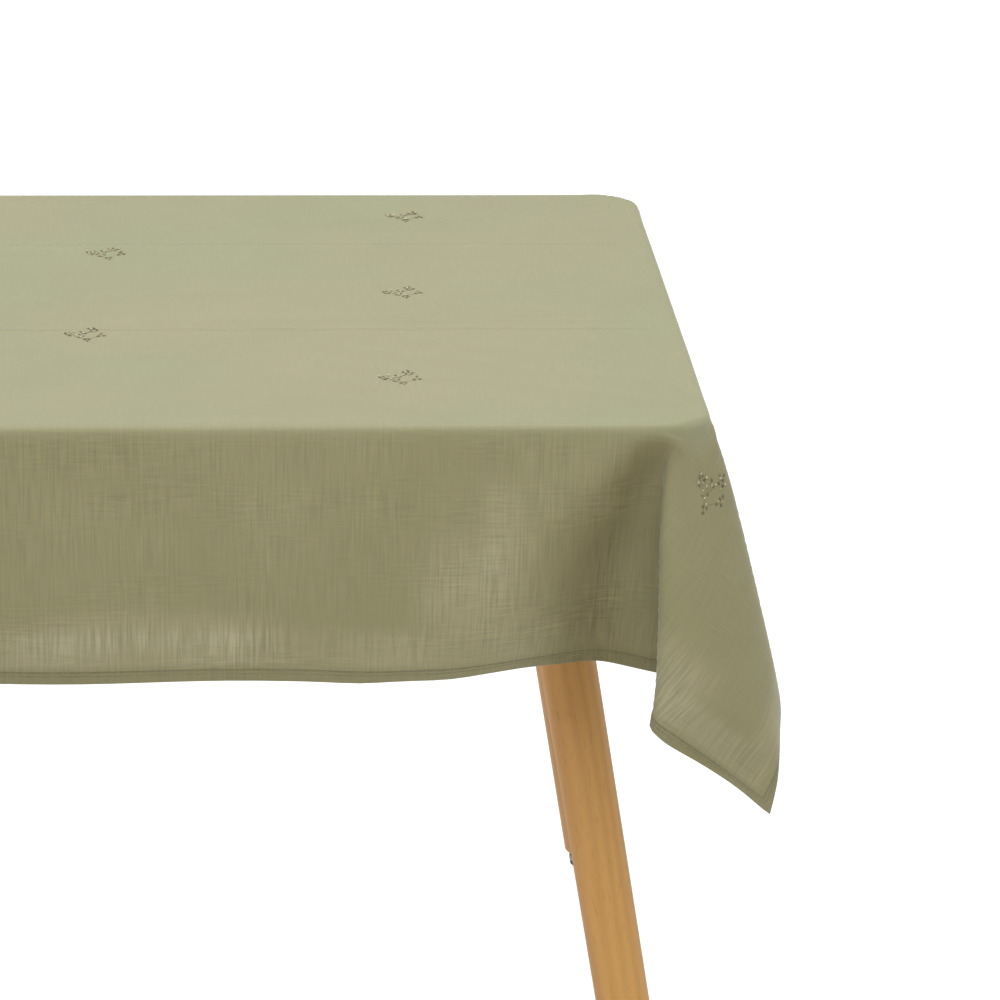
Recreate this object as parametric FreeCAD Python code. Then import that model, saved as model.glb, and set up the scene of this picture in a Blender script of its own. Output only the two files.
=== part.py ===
import FreeCAD, Part
import math
import os

Vector = FreeCAD.Vector

# A dining table with a hemmed, embroidered tablecloth over it.
# Millimetres. Origin: on the floor under the middle of the table.
# +X along the table's length, -Y is the front, +Z up.

# Table
TABLE_LENGTH = 1900.0
TABLE_DEPTH = 900.0
CORNER_RADIUS = 47.0
BOARD_THICKNESS = 28.0
BOARD_EDGE_ROUND = 3.0
OVERALL_HEIGHT = 750.0

# Tablecloth, cut to 1400 x 2400
CLOTH_THICKNESS = 1.2
CLOTH_REST_GAP = 0.3
CLOTH_DROP = 250.0
HEM_WIDTH = 12.0
HEM_FOLD_THICKNESS = 0.8
STITCH_HEIGHT = 0.6
STITCH_PROUD = 0.3
FOLD_START = 70.0

# Where the cloth's free edge runs round half of a corner fold: distance past the
# table's end, distance past its long side, drop below the top. The last is the tip.
FOLD_EDGE = [(-FOLD_START, 1.1, 250.0), (-55.0, 6.0, 262.0), (-50.0, 24.0, 287.0),
             (-26.0, 48.0, 310.0), (12.0, 57.0, 331.0), (58.0, 58.0, 367.0)]
FOLD_SAMPLES = 13
FOLD_STRAIGHT_SHARE = 0.3

# Embroidered sprigs, half-drop repeat
SPRIG_COLUMN_STEP = 315.0
SPRIG_ROW_STEP = 317.0
SPRIG_FIRST_X = 678.0
SPRIG_FIRST_Y = 29.0
SPRIG_MARGIN = 30.0
SPRIG_STEM = (1.0, 40.0, 0.4)
KNOT_RADIUS = 1.6
KNOT_HEIGHT = 0.6

# Legs: round, tapered, leaning out both ways
LEG_TOP_RADIUS = 29.5
LEG_FOOT_RADIUS = 26.5
LEG_TOP_INSET = (162.0, 295.0)
LEG_FOOT_INSET = (45.0, 132.0)
LEG_FOOT_ROUND = 2.5
LEG_FACE_DROP = 14.5
LEG_END_HEIGHT = 17.7

# Angled leg plates and their fixings
PLATE_SIZE = 100.0
PLATE_THICKNESS = 3.0
PLATE_CORNER = 8.0
PLATE_SCREW_OFFSET = 40.0
BOSS_RADIUS = 28.0
HANGER_BOLT_RADIUS = 5.0
HANGER_BOLT_IN_LEG = 45.0
HANGER_BOLT_IN_PLATE = 11.0
SCREW_RADIUS = 2.0
SCREW_HEAD_RADIUS = 4.2
SCREW_LENGTH = 18.0
FIT_CLEARANCE = 0.05

# Lengthwise rails that keep the board flat
RAIL_SIZE = (1500.0, 40.0, 22.0)
RAIL_OFFSET = 300.0
RAIL_SCREW_RADIUS = 2.5
RAIL_SCREW_HEAD = (5.0, 2.5)
RAIL_SCREW_DEPTH = 14.0
RAIL_SCREWS = 5
RAIL_SCREW_PITCH = 340.0

# Levelling glides, screwed upright into the leg ends
GLIDE_RADIUS = 22.0
GLIDE_PAD_RADIUS = 21.0
GLIDE_PAD_HEIGHT = 6.0
GLIDE_PLATE_HEIGHT = 6.0
GLIDE_CHAMFER = 1.2
GLIDE_STEM_RADIUS = 4.0
GLIDE_STEM_LENGTH = 30.0
INSERT_RADIUS = 6.0
INSERT_LENGTH = 18.0
LEG_END_HOLE_DEPTH = 45.0

CORNERS = {"front_left": (-1, -1), "front_right": (1, -1), "back_left": (-1, 1), "back_right": (1, 1)}

cloth_underside = OVERALL_HEIGHT - CLOTH_THICKNESS
board_top = cloth_underside - CLOTH_REST_GAP
board_underside = board_top - BOARD_THICKNESS
half_length = TABLE_LENGTH / 2
half_depth = TABLE_DEPTH / 2
sheet_inside = CLOTH_REST_GAP + HEM_FOLD_THICKNESS
sheet_outside = sheet_inside + CLOTH_THICKNESS
hem_level = OVERALL_HEIGHT - CLOTH_DROP
UP = Vector(0, 0, 1)


def box(x0, x1, y0, y1, z0, z1):
    """A block between two corners."""
    return Part.makeBox(x1 - x0, y1 - y0, z1 - z0, Vector(x0, y0, z0))


def cylinder(radius, height, base, direction=UP):
    return Part.makeCylinder(radius, height, base, direction)


def rounded_plate(half_x, half_y, radius, z0, z1):
    """A flat plate with rounded corners, centred on the origin."""
    plate = box(-half_x, half_x, -half_y, half_y, z0, z1)
    uprights = [e for e in plate.Edges if abs(e.tangentAt(e.FirstParameter).z) > 0.9]
    return plate.makeFillet(radius, uprights)


def save(node, solids):
    """Write one node: a single solid, or a group of separate solids."""
    shape = solids[0] if len(solids) == 1 else Part.makeCompound(solids)
    if not shape.isValid() or any(s.Volume <= 0 for s in shape.Solids):
        raise RuntimeError("bad shape in " + node)
    shape.exportStep("parts/" + node + ".step")
    print(node, len(shape.Solids), "solid(s)", round(shape.Volume / 1000.0, 2), "cm3")


# ---- Table -----------------------------------------------------------------------------

def leg_point(corner, z):
    """The point of a leg's axis at height z."""
    sx, sy = CORNERS[corner]
    share = (board_underside - z) / (board_underside - LEG_END_HEIGHT)
    inset_x = LEG_TOP_INSET[0] + share * (LEG_FOOT_INSET[0] - LEG_TOP_INSET[0])
    inset_y = LEG_TOP_INSET[1] + share * (LEG_FOOT_INSET[1] - LEG_TOP_INSET[1])
    return Vector(sx * (half_length - inset_x), sy * (half_depth - inset_y), z)


def leg_axis(corner):
    """Unit vector up a leg."""
    axis = leg_point(corner, board_underside) - leg_point(corner, LEG_END_HEIGHT)
    return axis.normalize()


def leg_face(corner):
    """Centre of the leg's upper end, which is cut square to its axis."""
    return leg_point(corner, board_underside - LEG_FACE_DROP)


def make_leg(corner):
    top, axis = leg_face(corner), leg_axis(corner)
    length = (top - leg_point(corner, LEG_END_HEIGHT)).Length
    taper = (LEG_TOP_RADIUS - LEG_FOOT_RADIUS) / length
    spare = 20.0
    leg = Part.makeCone(LEG_TOP_RADIUS, LEG_FOOT_RADIUS - taper * spare, length + spare, top, -axis)
    foot = leg_point(corner, LEG_END_HEIGHT)
    reach = 4 * LEG_TOP_RADIUS
    below = box(foot.x - reach, foot.x + reach, foot.y - reach, foot.y + reach, -reach, LEG_END_HEIGHT)
    leg = leg.cut(below)
    rim = [e for e in leg.Edges if e.BoundBox.ZMax < LEG_END_HEIGHT + 0.1]
    leg = leg.makeFillet(LEG_FOOT_ROUND, rim)
    bolt_hole = cylinder(HANGER_BOLT_RADIUS + FIT_CLEARANCE, HANGER_BOLT_IN_LEG + 2, top, -axis)
    return leg.cut(bolt_hole).cut(cylinder(INSERT_RADIUS, LEG_END_HOLE_DEPTH, foot))


def plate_centre(corner):
    return leg_point(corner, board_underside)


def plate_screw_points(corner):
    centre = plate_centre(corner)
    offsets = (-PLATE_SCREW_OFFSET, PLATE_SCREW_OFFSET)
    return [centre + Vector(dx, dy, 0) for dx in offsets for dy in offsets]


def countersunk_screw(point, grow):
    """A screw whose head is flush under the plate, grown all round to make its hole."""
    foot = Vector(point.x, point.y, board_underside - PLATE_THICKNESS)
    head_height = PLATE_THICKNESS - 0.4
    head = Part.makeCone(SCREW_HEAD_RADIUS + grow, SCREW_RADIUS + grow, head_height, foot)
    shank = cylinder(SCREW_RADIUS + grow, SCREW_LENGTH + grow, foot + Vector(0, 0, head_height - 0.01))
    return head.fuse(shank)


def make_leg_plate(corner):
    """A screwed flange with a wedge under it whose face is square to the leg."""
    centre = plate_centre(corner)
    low = board_underside - PLATE_THICKNESS
    half = PLATE_SIZE / 2
    flange = rounded_plate(half, half, PLATE_CORNER, low, board_underside)
    flange.translate(Vector(centre.x, centre.y, 0))
    face, axis = leg_face(corner), leg_axis(corner)
    wedge = cylinder(BOSS_RADIUS, 2 * LEG_FACE_DROP, face, axis)
    reach = 2 * PLATE_SIZE
    above = box(face.x - reach, face.x + reach, face.y - reach, face.y + reach, low + 0.5, low + reach)
    plate = flange.fuse(wedge.cut(above)).removeSplitter()
    bolt_hole = cylinder(HANGER_BOLT_RADIUS + FIT_CLEARANCE, HANGER_BOLT_IN_PLATE + 0.5, face, axis)
    plate = plate.cut(bolt_hole)
    for point in plate_screw_points(corner):
        plate = plate.cut(countersunk_screw(point, FIT_CLEARANCE))
    return plate


def make_hanger_bolt(corner):
    axis = leg_axis(corner)
    start = leg_face(corner) - axis * HANGER_BOLT_IN_LEG
    return cylinder(HANGER_BOLT_RADIUS, HANGER_BOLT_IN_LEG + HANGER_BOLT_IN_PLATE, start, axis)


def rail_screw_points():
    first = -RAIL_SCREW_PITCH * (RAIL_SCREWS - 1) / 2
    return [Vector(first + i * RAIL_SCREW_PITCH, side * RAIL_OFFSET, 0)
            for side in (-1, 1) for i in range(RAIL_SCREWS)]


def rail_screw_shank(point, grow):
    base = Vector(point.x, point.y, board_underside - RAIL_SIZE[2] - grow)
    return cylinder(RAIL_SCREW_RADIUS + grow, RAIL_SIZE[2] + RAIL_SCREW_DEPTH + 2 * grow, base)


def make_rail_screw(point):
    head_radius, head_height = RAIL_SCREW_HEAD
    base = Vector(point.x, point.y, board_underside - RAIL_SIZE[2] - head_height)
    return cylinder(head_radius, head_height, base).fuse(rail_screw_shank(point, 0.0))


def make_rail(side):
    length, width, height = RAIL_SIZE
    y = side * RAIL_OFFSET
    rail = box(-length / 2, length / 2, y - width / 2, y + width / 2, board_underside - height, board_underside)
    for point in rail_screw_points():
        if point.y * side > 0:
            rail = rail.cut(rail_screw_shank(point, FIT_CLEARANCE))
    return rail


def make_tabletop():
    board = rounded_plate(half_length, half_depth, CORNER_RADIUS, board_underside, board_top)
    rims = [e for e in board.Edges if e.BoundBox.ZLength < 0.01]
    board = board.makeFillet(BOARD_EDGE_ROUND, rims)
    for corner in CORNERS:
        for point in plate_screw_points(corner):
            board = board.cut(countersunk_screw(point, FIT_CLEARANCE))
    for point in rail_screw_points():
        board = board.cut(rail_screw_shank(point, FIT_CLEARANCE))
    return board


# ---- Levelling glides --------------------------------------------------------------------

def glide_centre(corner):
    foot = leg_point(corner, LEG_END_HEIGHT)
    return Vector(foot.x, foot.y, 0)


def make_insert(corner):
    """Threaded sleeve in the leg's end."""
    base = glide_centre(corner) + Vector(0, 0, LEG_END_HEIGHT)
    sleeve = cylinder(INSERT_RADIUS, INSERT_LENGTH, base)
    return sleeve.cut(cylinder(GLIDE_STEM_RADIUS + FIT_CLEARANCE, INSERT_LENGTH, base))


def chamfered_disc(radius, height, base, at_top):
    disc = cylinder(radius, height, base)
    rim_z = base.z + (height if at_top else 0)
    rim = [e for e in disc.Edges if e.BoundBox.ZLength < 0.01 and abs(e.BoundBox.ZMin - rim_z) < 0.01]
    return disc.makeChamfer(GLIDE_CHAMFER, rim)


def make_glide_plate(corner):
    """Steel disc and its threaded stem, one turned piece."""
    base = glide_centre(corner) + Vector(0, 0, GLIDE_PAD_HEIGHT)
    disc = chamfered_disc(GLIDE_RADIUS, GLIDE_PLATE_HEIGHT, base, True)
    stem = cylinder(GLIDE_STEM_RADIUS, GLIDE_STEM_LENGTH, base + Vector(0, 0, GLIDE_PLATE_HEIGHT - 0.5))
    return disc.fuse(stem)


def make_glide_pad(corner):
    return chamfered_disc(GLIDE_PAD_RADIUS, GLIDE_PAD_HEIGHT, glide_centre(corner), False)


# ---- Tablecloth ---------------------------------------------------------------------------

def spline_edge(points):
    curve = Part.BSplineCurve()
    count = len(points) - 1
    curve.interpolate(Points=points, Parameters=[i / count for i in range(count + 1)])
    return curve.toShape()


def end_face(loop):
    return Part.Face(Part.makePolygon(loop + [loop[0]]))


def strip_solid(outer_rows, inner_rows):
    """A thin closed solid between matching rows of points on its two faces."""
    outer = [spline_edge(row) for row in outer_rows]
    inner = [spline_edge(row) for row in inner_rows]
    pairs = list(zip(outer, outer[1:])) + list(zip(inner, inner[1:]))
    pairs += [(outer[0], inner[0]), (outer[-1], inner[-1])]
    faces = [Part.makeRuledSurface(a, b) for a, b in pairs]
    for end in (0, -1):
        loop = [row[end] for row in outer_rows] + [row[end] for row in reversed(inner_rows)]
        faces.append(end_face(loop))
    shell = Part.Shell(faces)
    shell.sewShape()
    solid = Part.Solid(shell)
    solid.fix(0.001, 0.001, 0.001)
    return solid if solid.Volume > 0 else solid.reversed()


def rim_point(share, offset, z):
    """Along the table's rim into a corner, offset outwards, as far as the corner's middle."""
    if share <= FOLD_STRAIGHT_SHARE:
        run = FOLD_START - CORNER_RADIUS
        return Vector(-FOLD_START + run * share / FOLD_STRAIGHT_SHARE, offset, z)
    turn = math.pi / 4 * (share - FOLD_STRAIGHT_SHARE) / (1 - FOLD_STRAIGHT_SHARE)
    radius = CORNER_RADIUS + offset
    return Vector(-CORNER_RADIUS + radius * math.sin(turn), -CORNER_RADIUS + radius * math.cos(turn), z)


def free_edge():
    """Samples of the fold's free edge, with the outward normal at each seen from above, mitred at the tip."""
    curve = Part.BSplineCurve()
    points = [Vector(a, b, OVERALL_HEIGHT - drop) for a, b, drop in FOLD_EDGE]
    curve.interpolate(Points=points, Parameters=list(range(len(points))),
                      InitialTangent=Vector(20, 0, 0), FinalTangent=Vector(46, 3, -37))
    samples = []
    for i in range(FOLD_SAMPLES):
        share = i / (FOLD_SAMPLES - 1)
        u = curve.FirstParameter + share * (curve.LastParameter - curve.FirstParameter)
        along = curve.tangent(u)[0]
        normal = Vector(-along.y, along.x, 0).normalize()
        if i == FOLD_SAMPLES - 1:
            mitre = Vector(1, 1, 0).normalize()
            normal = mitre / normal.dot(mitre)
        samples.append((curve.value(u), normal))
    return samples


def fold_row(offset, level):
    """One row of points across half a fold. level 0 is the rim, 1 under the board, 2 the free edge."""
    edge = free_edge()
    under_board = board_underside - 4.0
    row = []
    for i, (low, normal) in enumerate(edge):
        share = i / (FOLD_SAMPLES - 1)
        if level == 0:
            row.append(rim_point(share, offset, cloth_underside))
            continue
        high = rim_point(share, offset, under_board)
        bottom = low + normal * (offset - sheet_inside)
        row.append(high + (bottom - high) * (level - 1))
    return row


def fold_band(offset_out, offset_in, levels):
    """Half a corner fold joined to its mirror image across the corner's diagonal."""
    outer = [fold_row(offset_out, level) for level in levels]
    inner = [fold_row(offset_in, level) for level in levels]
    half = strip_solid(outer, inner)
    other = half.mirror(Vector(0, 0, 0), Vector(1, -1, 0))
    return half.fuse(other)


def to_corner(shape, corner):
    """Place a shape drawn at a corner with X and Y pointing outwards."""
    sx, sy = CORNERS[corner]
    placed = shape
    if sx < 0:
        placed = placed.mirror(Vector(0, 0, 0), Vector(1, 0, 0))
    if sy < 0:
        placed = placed.mirror(Vector(0, 0, 0), Vector(0, 1, 0))
    placed.translate(Vector(sx * half_length, sy * half_depth, 0))
    return placed


def side_strip(side, inside, outside, z0, z1):
    """A flat strip along one side of the table, between two distances from its edge."""
    x = half_length - FOLD_START
    y = half_depth - FOLD_START
    if side == "front":
        return box(-x, x, -half_depth - outside, -half_depth - inside, z0, z1)
    if side == "back":
        return box(-x, x, half_depth + inside, half_depth + outside, z0, z1)
    if side == "left":
        return box(-half_length - outside, -half_length - inside, -y, y, z0, z1)
    return box(half_length + inside, half_length + outside, -y, y, z0, z1)


def make_cloth_top():
    grow = sheet_outside
    return rounded_plate(half_length + grow, half_depth + grow, CORNER_RADIUS + grow, cloth_underside, OVERALL_HEIGHT)


def fold_level(height_above_edge):
    """The fold_row level that lies this far above the free edge of the flat sides."""
    return 2.0 - height_above_edge / (board_underside - 4.0 - hem_level)


def sprig_points():
    """Grid points of the half-drop repeat that fall on the flat top."""
    points = []
    for column in range(-8, 3):
        x = SPRIG_FIRST_X + column * SPRIG_COLUMN_STEP
        shift = SPRIG_ROW_STEP / 2 if column % 2 else 0.0
        for row in range(-4, 5):
            y = SPRIG_FIRST_Y + shift + row * SPRIG_ROW_STEP
            if abs(x) < half_length - SPRIG_MARGIN and abs(y) < half_depth - SPRIG_MARGIN:
                points.append(Vector(x, y, OVERALL_HEIGHT))
    return points


def make_sprig(point):
    """A stitched stem with a knot at each side of its two ends."""
    width, length, height = SPRIG_STEM
    stem = Part.makeBox(width, length, height, point - Vector(width / 2, length / 2, 0))
    beside = KNOT_RADIUS + width
    knots = [cylinder(KNOT_RADIUS, KNOT_HEIGHT, point + Vector(dx, dy, 0))
             for dx in (-beside, beside) for dy in (-length / 3, length / 3)]
    return [stem] + knots


def main():
    os.makedirs("parts", exist_ok=True)
    sides = ("front", "back", "left", "right")

    save("tabletop", [make_tabletop()])
    save("stiffening_rail_front", [make_rail(-1)])
    save("stiffening_rail_back", [make_rail(1)])
    save("rail_screws", [make_rail_screw(p) for p in rail_screw_points()])
    for corner in CORNERS:
        save("leg_" + corner, [make_leg(corner)])
        save("leg_plate_" + corner, [make_leg_plate(corner)])
        save("glide_plate_" + corner, [make_glide_plate(corner)])
        save("glide_pad_" + corner, [make_glide_pad(corner)])
    save("hanger_bolts", [make_hanger_bolt(c) for c in CORNERS])
    save("plate_screws", [countersunk_screw(p, 0.0) for c in CORNERS for p in plate_screw_points(c)])
    save("threaded_inserts", [make_insert(c) for c in CORNERS])

    save("cloth_top", [make_cloth_top()])
    for side in sides:
        save("cloth_drop_" + side, [side_strip(side, sheet_inside, sheet_outside, hem_level, cloth_underside)])
    fold = fold_band(sheet_outside, sheet_inside, (0, 1, 2))
    for corner in CORNERS:
        save("cloth_fold_" + corner, [to_corner(fold, corner)])

    hem_top = hem_level + HEM_WIDTH
    stitch_low = hem_top - STITCH_HEIGHT
    stitch_outside = sheet_outside + STITCH_PROUD
    for side in sides:
        save("hem_" + side, [side_strip(side, CLOTH_REST_GAP, sheet_inside, hem_level, hem_top)])
    stitching = [side_strip(side, sheet_outside, stitch_outside, stitch_low, hem_top) for side in sides]
    save("hem_stitching_sides", stitching)

    hem_fold = fold_band(sheet_inside, CLOTH_REST_GAP, (fold_level(HEM_WIDTH), 2))
    stitch_levels = (fold_level(HEM_WIDTH), fold_level(HEM_WIDTH - STITCH_HEIGHT))
    stitch_fold = fold_band(stitch_outside, sheet_outside, stitch_levels)
    for corner in CORNERS:
        save("hem_fold_" + corner, [to_corner(hem_fold, corner)])
        save("hem_stitching_" + corner, [to_corner(stitch_fold, corner)])
    save("embroidered_sprigs", [piece for p in sprig_points() for piece in make_sprig(p)])


main()
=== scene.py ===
import math

import bpy
import numpy as np
from mathutils import Matrix, Vector


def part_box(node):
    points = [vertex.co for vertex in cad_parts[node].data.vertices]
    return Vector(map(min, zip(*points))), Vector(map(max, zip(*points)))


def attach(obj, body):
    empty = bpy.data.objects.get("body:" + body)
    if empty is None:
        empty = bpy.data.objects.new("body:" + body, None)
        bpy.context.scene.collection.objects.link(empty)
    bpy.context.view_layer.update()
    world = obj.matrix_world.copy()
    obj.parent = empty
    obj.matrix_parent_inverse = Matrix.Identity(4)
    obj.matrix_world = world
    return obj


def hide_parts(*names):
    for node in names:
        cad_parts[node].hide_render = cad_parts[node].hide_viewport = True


# A sage green slub-weave tablecloth over a dining table with round splayed legs.
# Metres. The cloth is simulated corner by corner, then hemmed, stitched and embroidered.

# ---------------------------------------------------------------- sizes
CLOTH_WIDTH = 1.40
CLOTH_LENGTH = 2.40
HALF_LENGTH = 0.95
HALF_DEPTH = 0.45
DROP = 0.25
BOARD_CORNER_RADIUS = 0.047
BOARD_EDGE_RADIUS = 0.003
BOARD_THICKNESS = 0.028
CORNER_SPAN = 0.40
SIDES = ("front", "back", "left", "right")
CORNERS = {"front_left": (-1, -1), "front_right": (1, -1), "back_left": (-1, 1), "back_right": (1, 1)}

# cloth: half thicknesses of the plain sheet and of the turned-up hem
HALF_CLOTH = 0.00025
HEM_WIDTH = 0.0125
HEM_OUTER = 0.00055
HEM_INNER = 0.00115
STITCH_ROWS = (0.0112, 0.0078)
STITCH_PITCH = 0.0034
STITCH_LENGTH = 0.0027
STITCH_RADIUS = 0.00021

# embroidered sprigs, half-drop repeat
SPRIG_STEP = (0.315, 0.317)
SPRIG_FIRST = (0.678, 0.029)
SPRIG_SKEW = 0.044
SPRIG_MARGIN = 0.03
END_COLUMN_SLIP = (0.007, -0.027)

# ---------------------------------------------------------------- cloth simulation
DROP_CELLS = 30
CELL = DROP / DROP_CELLS
TOP_CELLS = round(CORNER_SPAN / CELL)
GRAVITY = 2.0
TIME_STEP = 1 / 600
BENDING_LENGTH = 0.024
DAMPING = 6.0
SHEAR_SOFTNESS = 1e-6
CLEARANCE = 0.0013
LEAST_CLEARANCE = 0.0012
CORNER_CLEARANCE = 0.0019
TOP_FRICTION = 0.9
EDGE_FRICTION = 0.5
HEM_MASS = 2.0
HEM_STIFFNESS = 4.0
PINNED_INSIDE = 0.07
GUIDE_STRENGTH = 0.03
FOLD_HOLD = 0.5
FOLD_FROM = 4
FOLD_BOW = 0.011
LED_FROM = -0.321
LED_START, LED_RISE = 0.2, 0.25
FLANK_GAP = 0.0008
HEM_TOLERANCE = 0.0005
HANGING_FROM = 0.012
STRETCH_PASSES = 3
SMOOTHING_PASSES = 2
STEPS = 2400

# Where the hem of a corner is led while the rest of the cloth settles. Each row: distance along
# the hem before it was hung, counted outwards from the table's edge; then where it hangs: along
# the hem, out from the table, below the top.
PLEAT = [(0.250, 0.059, 0.059, -0.366), (0.208, 0.027, 0.060, -0.337), (0.168, -0.007, 0.055, -0.316),
         (0.142, -0.032, 0.045, -0.302), (0.103, -0.058, 0.023, -0.278), (0.070, -0.027, 0.012, -0.272),
         (0.036, 0.011, 0.008, -0.262), (-0.030, -0.046, -0.016, -0.251), (-0.090, -0.099, -0.043, -0.246),
         (-0.160, -0.167, -0.027, -0.247), (-0.200, -0.206, -0.013, -0.248), (-0.240, -0.245, 0.000, -0.249),
         (-0.320, -0.322, 0.007, -0.250)]
OPEN_PLEAT = [(0.250, 0.059, 0.059, -0.366), (0.208, 0.025, 0.069, -0.343), (0.156, -0.015, 0.074, -0.311),
              (0.135, -0.032, 0.073, -0.298), (0.114, -0.048, 0.070, -0.286), (0.069, -0.026, 0.033, -0.272),
              (0.021, 0.008, 0.008, -0.262), (-0.030, -0.040, -0.008, -0.252),
              (-0.087, -0.095, -0.022, -0.247), (-0.157, -0.165, -0.020, -0.248),
              (-0.236, -0.243, -0.005, -0.250), (-0.320, -0.322, 0.002, -0.250)]
SOFT_PLEAT = [(0.250, 0.054, 0.054, -0.368), (0.208, 0.020, 0.060, -0.345), (0.160, -0.020, 0.058, -0.318),
              (0.140, -0.036, 0.048, -0.306), (0.112, -0.050, 0.030, -0.289), (0.080, -0.030, 0.018, -0.276),
              (0.036, 0.006, 0.009, -0.262),
              (-0.030, -0.050, -0.012, -0.251), (-0.090, -0.105, -0.028, -0.247),
              (-0.160, -0.172, -0.022, -0.248), (-0.240, -0.247, -0.006, -0.250),
              (-0.320, -0.322, 0.000, -0.250)]
PLEAT_FOLDS = (4, 6, 8)
CORNER_SHAPES = {"near": (PLEAT, OPEN_PLEAT), "far": (SOFT_PLEAT, PLEAT)}
SHAPE_OF = {"front_left": "far", "front_right": "near", "back_left": "near", "back_right": "far"}

# ---------------------------------------------------------------- creases, wrinkles, patches of painted light
# Pressed creases along the table: two long ones and a short one at the right.
FRONT_CREASE, SHORT_CREASE, BACK_CREASE = -0.110, -0.082, 0.232
SHORT_CREASE_RISE = (0.45, 0.75)

# Small slanting wrinkles: middle on the flat cloth, angle, half length, half width, height.
WRINKLES = [
    (1.010, -0.560, -0.62, 0.050, 0.0065, 0.0014), (1.070, -0.590, -0.55, 0.040, 0.0060, 0.0012),
    (0.450, -0.474, 0.60, 0.022, 0.0070, 0.0010), (0.960, 0.560, 0.70, 0.050, 0.0065, 0.0009),
    (-1.010, -0.530, 0.60, 0.050, 0.0065, 0.0009), (-1.000, 0.550, -0.50, 0.050, 0.0065, 0.0009),
    (-0.300, -0.520, 0.40, 0.030, 0.0080, 0.0009), (0.200, 0.540, -0.50, 0.030, 0.0080, 0.0009),
    (0.560, -0.070, 0.10, 0.180, 0.0130, 0.0013), (0.420, 0.020, 0.14, 0.160, 0.0130, 0.0013),
    (0.700, 0.130, 0.16, 0.140, 0.0130, 0.0012), (0.380, 0.200, 0.05, 0.170, 0.0150, 0.0013),
    (0.600, 0.330, 0.08, 0.180, 0.0150, 0.0012), (0.440, -0.200, 0.18, 0.110, 0.0130, 0.0011),
    (0.820, -0.040, -0.20, 0.070, 0.0120, 0.0012), (0.050, 0.100, 0.12, 0.180, 0.0140, 0.0012),
    (-0.150, -0.240, -0.10, 0.160, 0.0140, 0.0012), (-0.480, 0.060, 0.16, 0.170, 0.0140, 0.0013),
    (-0.620, 0.280, -0.12, 0.150, 0.0140, 0.0012), (-0.760, -0.200, 0.20, 0.120, 0.0130, 0.0012)]

# Patches of painted light, where the hanging cloth is painted paler as if light came through it: middle on
# the flat cloth, half size each way, strength.
BACKLIT_PATCHES = [
    (0.722, -0.605, 0.045, 0.050, 0.52), (0.757, -0.550, 0.022, 0.050, 0.45),
    (0.862, -0.625, 0.022, 0.050, 0.45), (0.850, -0.520, 0.018, 0.030, 0.22),
    (1.040, -0.650, 0.045, 0.040, 0.75), (0.420, -0.650, 0.120, 0.020, 0.50),
    (-0.600, -0.620, 0.080, 0.040, 0.70), (-0.100, -0.640, 0.120, 0.030, 0.50),
    (0.300, 0.620, 0.120, 0.040, 0.60), (-0.700, 0.610, 0.060, 0.060, 0.70)]

# Section of the hem: distance in from its edge, then how much of HEM_OUTER and HEM_INNER is there.
HEM_SECTION = [(-1, 0, 0), (0.0, 0, 0), (0.0005, 0.75, 0.7), (0.0014, 1, 1), (0.0040, 1, 1), (0.0074, 0.9, 1),
               (0.0078, 0.5, 0.8), (0.0082, 0.9, 1), (0.0100, 1, 1), (0.0112, 0.35, 0.8),
               (0.0121, 0.60, 0.85), (0.0128, HALF_CLOTH / HEM_OUTER, HALF_CLOTH / HEM_INNER)]
HEM_LINES = [0.0128, 0.0121, 0.0112, 0.0100, 0.0078, 0.0040, 0.0014, 0.0005, 0.0]

# ---------------------------------------------------------------- simulation steps


def smoothstep(x, low=0.0, high=1.0):
    t = np.clip((x - low) / (high - low), 0, 1)
    return t * t * (3 - 2 * t)


def guide_points(table, flat):
    """Where each point of the hem is led to, smoothed from a short table."""
    rows = np.array(table[::-1])
    led = np.stack([np.interp(flat, rows[:, 0], rows[:, k]) for k in (1, 2, 3)], -1)
    for _ in range(2):
        led[1:-1] = (led[:-2] + 2 * led[1:-1] + led[2:]) / 4
    return led


def fold_lines(pair):
    """Grid points on each pleat's ridges and valleys, which run from the board's edge down to the hem."""
    rows, columns, places = [], [], []
    for side, table in enumerate(pair):
        for knot in PLEAT_FOLDS:
            hem_flat, *hem_place = table[knot]
            for k in range(FOLD_FROM, DROP_CELLS):
                share = k / DROP_CELLS
                bow = FOLD_BOW * 4 * share * (1 - share)
                flat = (hem_flat + BOARD_CORNER_RADIUS) * share - BOARD_CORNER_RADIUS - 0.8 * bow
                start = np.array([-BOARD_CORNER_RADIUS, 0.002, 0])
                place = start * (1 - share) + np.array(hem_place) * share
                place[0] -= bow
                cell = [TOP_CELLS + round(flat / CELL), TOP_CELLS + k]
                rows.append(cell[side])
                columns.append(cell[1 - side])
                places.append(place if side == 0 else place[[1, 0, 2]])
    return np.array(rows), np.array(columns), np.array(places)


def pull_together(a, b, weight_a, weight_b, length, softness):
    """Moves each pair of points back to its rest distance."""
    gap = b - a
    distance = np.sqrt((gap * gap).sum(-1, keepdims=True)) + 1e-12
    gap *= (distance - length) / (distance * (weight_a + weight_b + softness + 1e-12))
    a += weight_a * gap
    b -= weight_b * gap


def flatten(a, b, c, weight_a, weight_b, weight_c, softness):
    """Takes out some of the bend at the middle one of three points in a row."""
    bend = (a - 2 * b + c) / (weight_a + 4 * weight_b + weight_c + softness)
    a -= weight_a * bend
    b += 2 * weight_b * bend
    c -= weight_c * bend


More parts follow.
